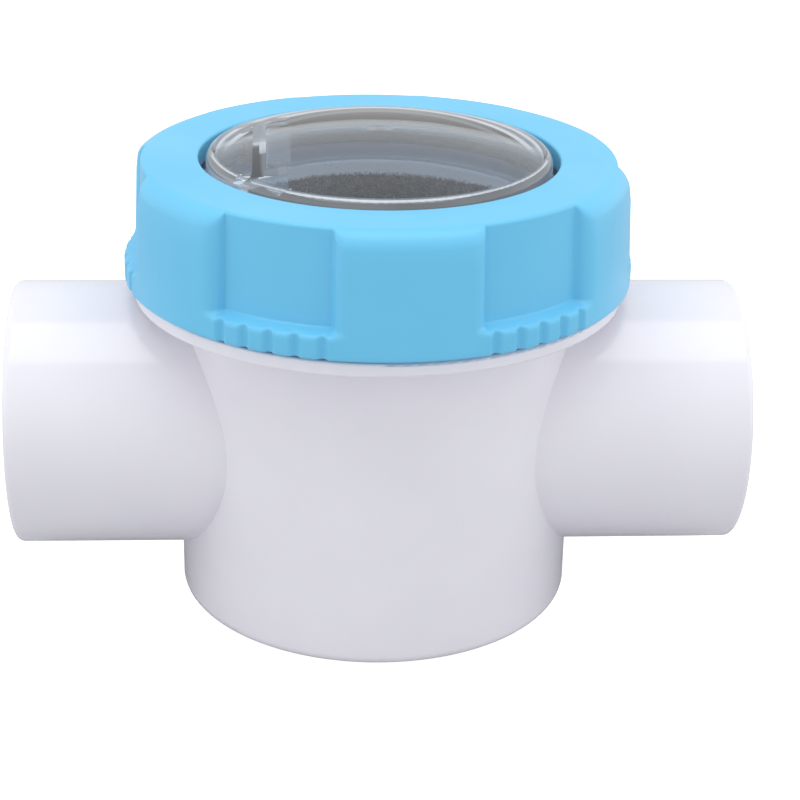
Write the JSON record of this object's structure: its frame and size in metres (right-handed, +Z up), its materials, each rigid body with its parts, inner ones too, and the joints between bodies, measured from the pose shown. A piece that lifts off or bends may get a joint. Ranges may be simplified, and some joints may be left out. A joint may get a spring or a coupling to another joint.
{
  "type": "in-line swing check valve",
  "caption": "In-line plastic pipe check valve with a clear domed cover under a threaded lobed lock ring and a sprung swing flapper on a drop-in seat frame.",
  "frame": {"origin": "centre of the round base, on the surface the valve stands on", "axes": "+X along the flow from inlet to outlet, +Z up through the clear cover"},
  "size_m": [0.165, 0.1138, 0.11],
  "materials": {
    "body_pvc": "injection-moulded white PVC, glossy",
    "ring_blue": "moulded sky-blue ABS, semi-gloss",
    "lens_clear": "clear polycarbonate, polished",
    "washer_acetal": "blue-grey acetal",
    "epdm": "black EPDM",
    "frame_grey": "dark grey glass-filled plastic",
    "flapper_grey": "dark grey glass-filled plastic, fine texture",
    "stainless": "stainless steel",
    "bush_acetal": "natural acetal",
    "spring_steel": "stainless spring wire"
  },
  "bodies": {
    "valve": {"valve_body": "body_pvc", "cover_o_ring": "epdm", "seat_frame": "frame_grey", "seat_o_ring": "epdm", "hinge_bush_front": "bush_acetal", "hinge_bush_rear": "bush_acetal", "torsion_spring_front": "spring_steel", "torsion_spring_rear": "spring_steel"},
    "lens": {"sight_lens": "lens_clear", "slip_washer": "washer_acetal"},
    "ring": {"lock_ring": "ring_blue"},
    "flapper": {"flapper_arm": "flapper_grey", "flapper_disc": "flapper_grey", "flapper_seal": "epdm", "seal_retainer": "stainless", "disc_screw": "stainless", "disc_washer": "stainless", "disc_nut": "stainless", "hinge_pin": "stainless", "pin_clips": "spring_steel"}
  },
  "joints": [
    {"name": "lens_lift", "type": "slide", "parent": "valve", "child": "lens", "axis": [0, 0, 1], "range_m": [0, 0.0301]},
    {"name": "ring_turn", "type": "hinge", "parent": "lens", "child": "ring", "pos_m": [0, 0, 0.09], "axis": [0, 0, 1], "range_deg": [0, 2160]},
    {"name": "flapper_swing", "type": "hinge", "parent": "valve", "child": "flapper", "pos_m": [-0.02191, 0, 0.07338], "axis": [0, -1, 0], "range_deg": [0, 75], "stiffness_Nm_per_rad": 0.02, "springref_deg": -34.38, "deforming": ["torsion_spring_front", "torsion_spring_rear"]}
  ],
  "couplings": [
    {"joint": "lens_lift", "follows": "ring_turn", "m_per_rad": 0.00079577}
  ]
}
